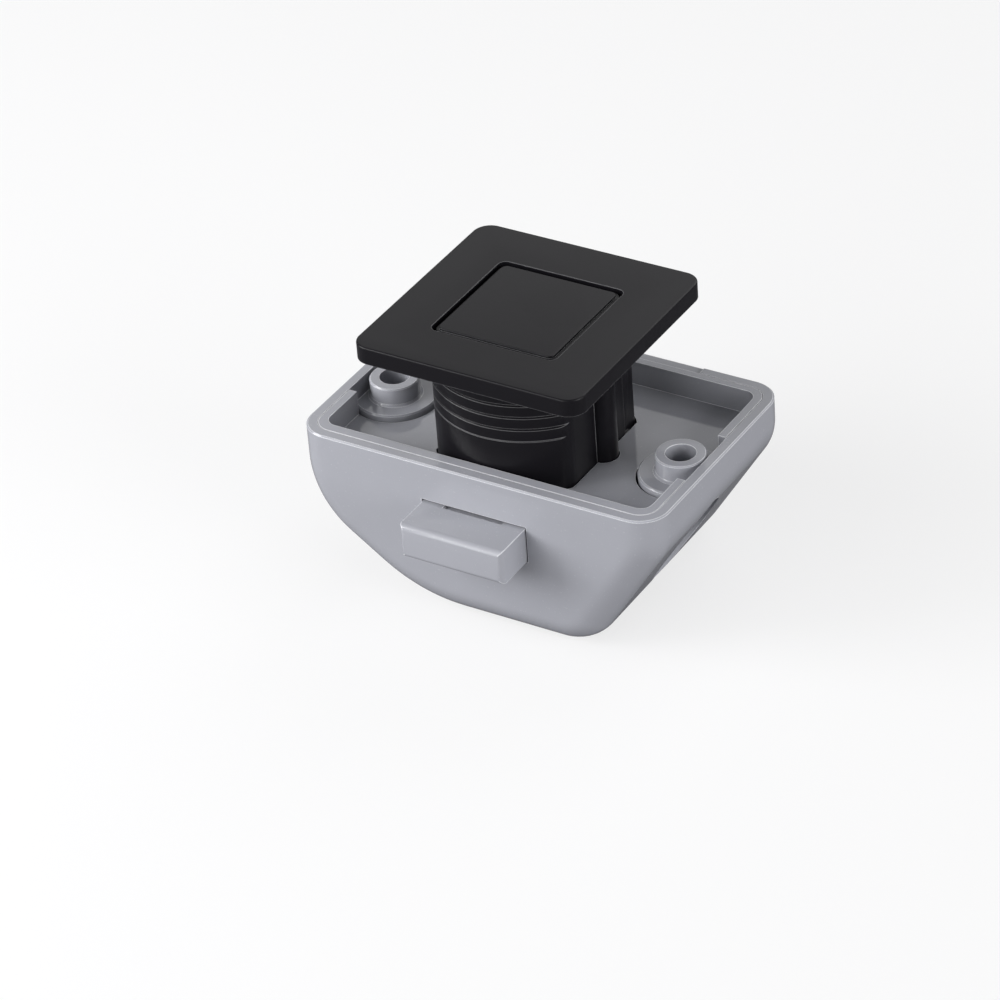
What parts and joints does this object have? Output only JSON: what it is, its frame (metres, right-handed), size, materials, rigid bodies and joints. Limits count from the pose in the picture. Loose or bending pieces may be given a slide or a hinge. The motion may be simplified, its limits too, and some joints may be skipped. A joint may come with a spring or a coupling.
{
  "type": "pushbutton lock",
  "caption": "Surface-mounted pushbutton lock for a cabinet door: grey moulded case with a sliding square-nosed bolt, and a square black rosette with a square push button.",
  "frame": {"origin": "middle of the case in plan, on its flat bottom", "axes": "+Z from the case to the button, -Y the side where the bolt comes out, +X along the case to the right"},
  "size_m": [0.065, 0.0504, 0.0472],
  "materials": {
    "case_plastic": "satin moulded",
    "tray_plastic": "satin moulded",
    "bolt_plastic": "satin moulded",
    "rosette_plastic": "satin black",
    "button_plastic": "satin black",
    "plunger_plastic": "natural",
    "seat_plastic": "natural",
    "chassis_plastic": "natural",
    "pin_steel": "ground",
    "spring_steel": "drawn",
    "screw_steel": "zinc plated",
    "plate_steel": "rolled",
    "pad_rubber": "matt"
  },
  "bodies": {
    "lock": {"case_shell": "case_plastic", "case_insert": "tray_plastic", "rosette": "rosette_plastic", "main_spring": "spring_steel", "spring_seat": "seat_plastic", "chassis": "chassis_plastic", "chassis_screws": "screw_steel", "catch_wire": "spring_steel", "catch_plate": "plate_steel", "catch_screw": "screw_steel", "bolt_leaf": "spring_steel", "bolt_pad": "pad_rubber"},
    "button": {"button_cap": "button_plastic", "plunger": "plunger_plastic", "cap_pin": "pin_steel", "cross_pin": "pin_steel"},
    "bolt": {"bolt": "bolt_plastic"}
  },
  "joints": [
    {"name": "button_slide", "type": "slide", "parent": "lock", "child": "button", "axis": [0, 0, 1], "range_m": [-0.0015, 0.0095], "deforming": ["main_spring"]},
    {"name": "bolt_slide", "type": "slide", "parent": "lock", "child": "bolt", "axis": [0, 1, 0], "range_m": [-0.00128, 0.00808]}
  ],
  "couplings": [
    {"joint": "bolt_slide", "follows": "button_slide", "ratio": 0.85}
  ]
}
